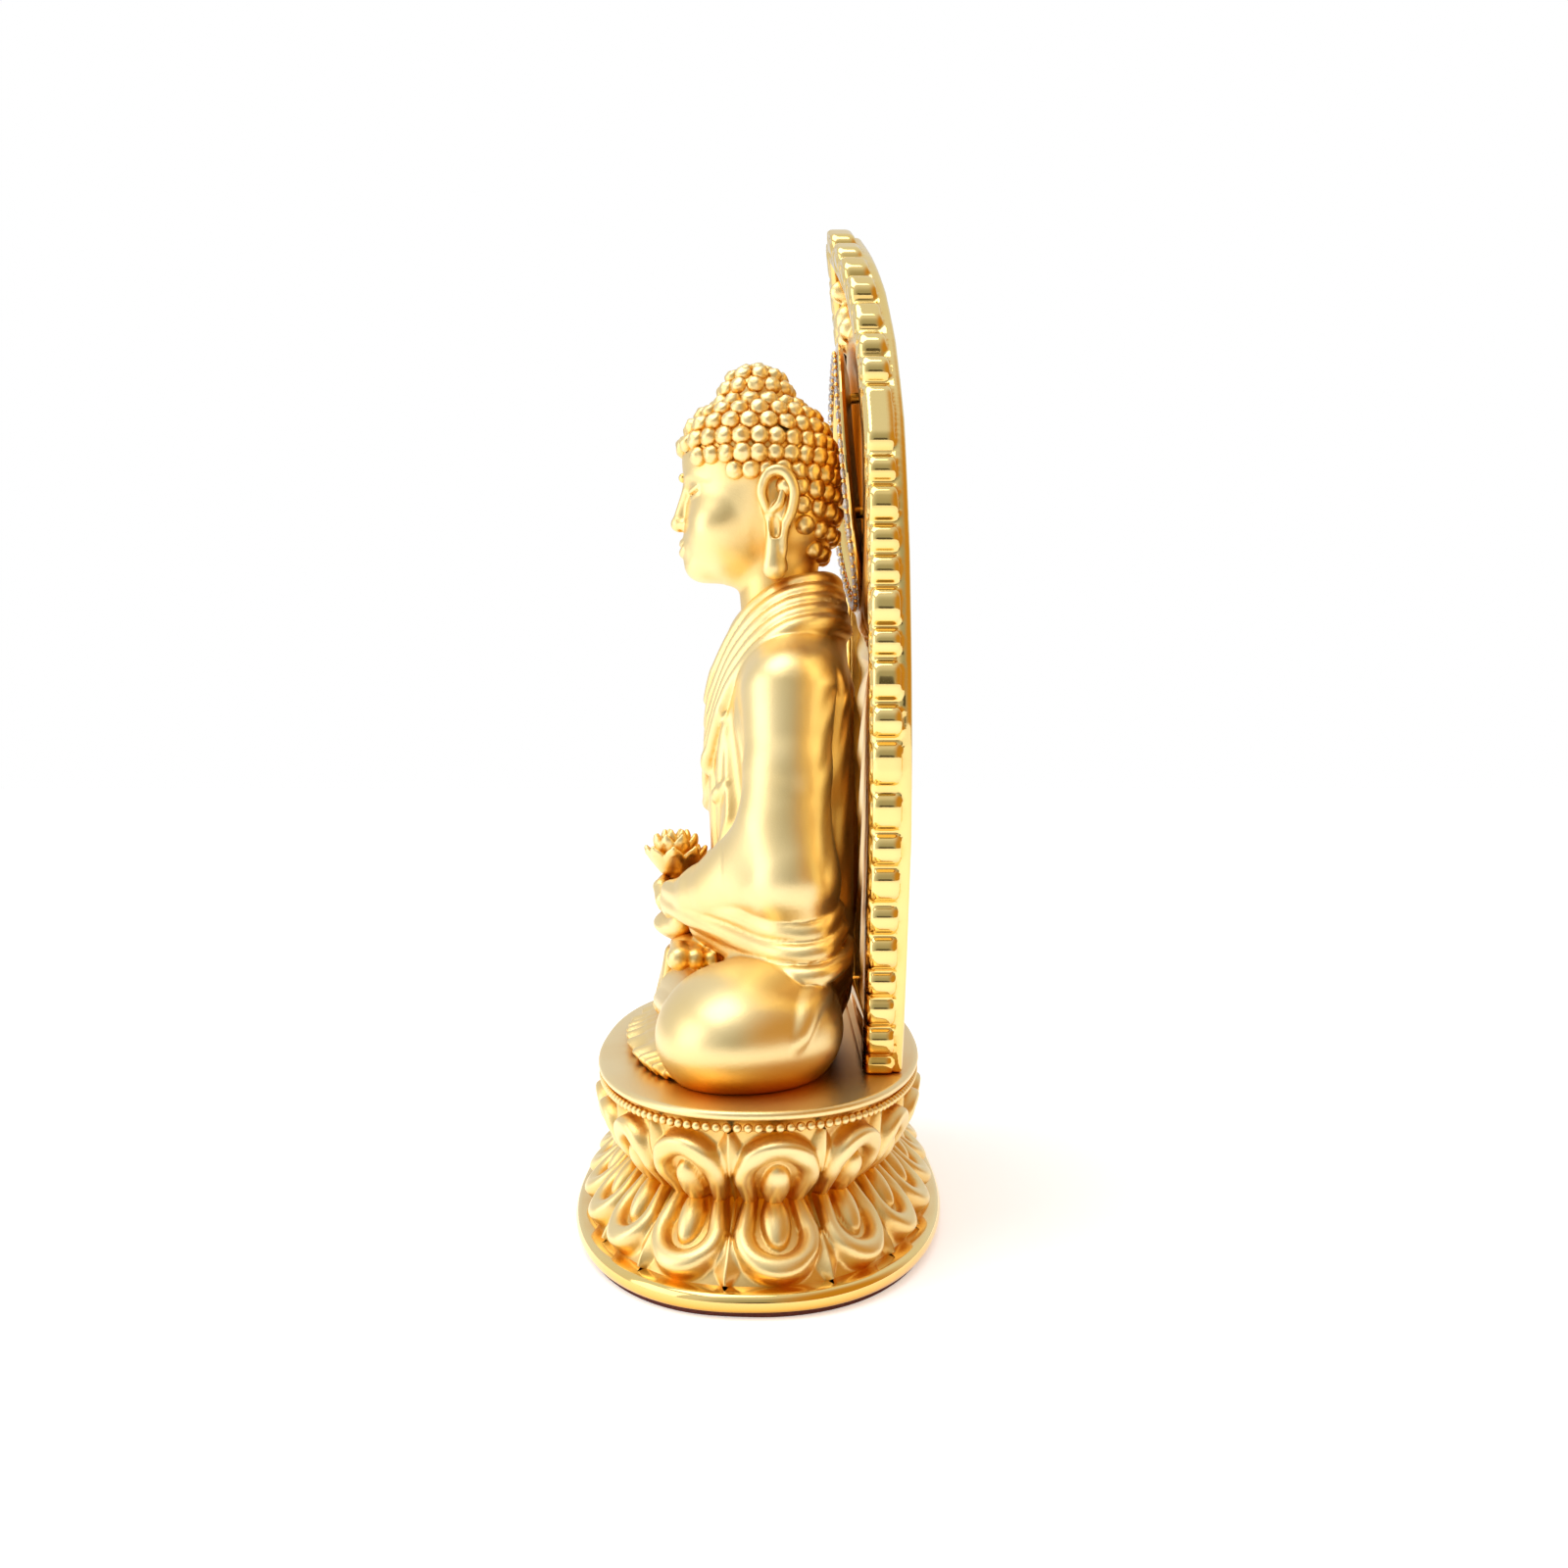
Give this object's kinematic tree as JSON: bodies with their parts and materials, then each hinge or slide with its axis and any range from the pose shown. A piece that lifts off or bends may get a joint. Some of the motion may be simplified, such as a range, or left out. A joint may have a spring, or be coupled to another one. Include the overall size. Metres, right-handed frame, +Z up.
{
  "type": "seated buddha statue",
  "caption": "Gold-plated seated Buddha on a double-lotus throne, holding a lotus blossom, before a lift-out flame-edged mandorla with a stone-set halo.",
  "frame": {"origin": "centre of the resting face under the felt pad", "axes": "+Z up; the figure faces -Y and its left side is +X"},
  "size_m": [0.0904, 0.0438, 0.12],
  "materials": {
    "satin_gold": "sand-blasted gold plate",
    "polished_gold": "mirror-polished gold plate",
    "crystal": "faceted clear stones",
    "felt": "dark red felt",
    "steel": "plain steel"
  },
  "bodies": {
    "statue": {"felt_pad": "felt", "bottom_cover": "steel", "plinth_ring": "polished_gold", "cover_screws": "steel", "lower_lotus": "satin_gold", "upper_lotus": "satin_gold", "pearl_border": "satin_gold", "dowels": "steel", "tie_rod": "steel", "tie_washer": "steel", "tie_nut": "steel", "figure_body": "satin_gold", "hands": "satin_gold", "lotus_blossom": "satin_gold", "lotus_pod": "satin_gold", "head": "satin_gold", "forehead_stone": "satin_gold"},
    "mandorla": {"mandorla_border": "polished_gold", "mandorla_panel": "satin_gold", "halo_plate": "satin_gold", "halo_stones": "crystal", "halo_pins": "satin_gold"}
  },
  "joints": [
    {"name": "mandorla_lift", "type": "slide", "parent": "statue", "child": "mandorla", "axis": [0, 0, 1], "range_m": [0, 0.008]}
  ]
}
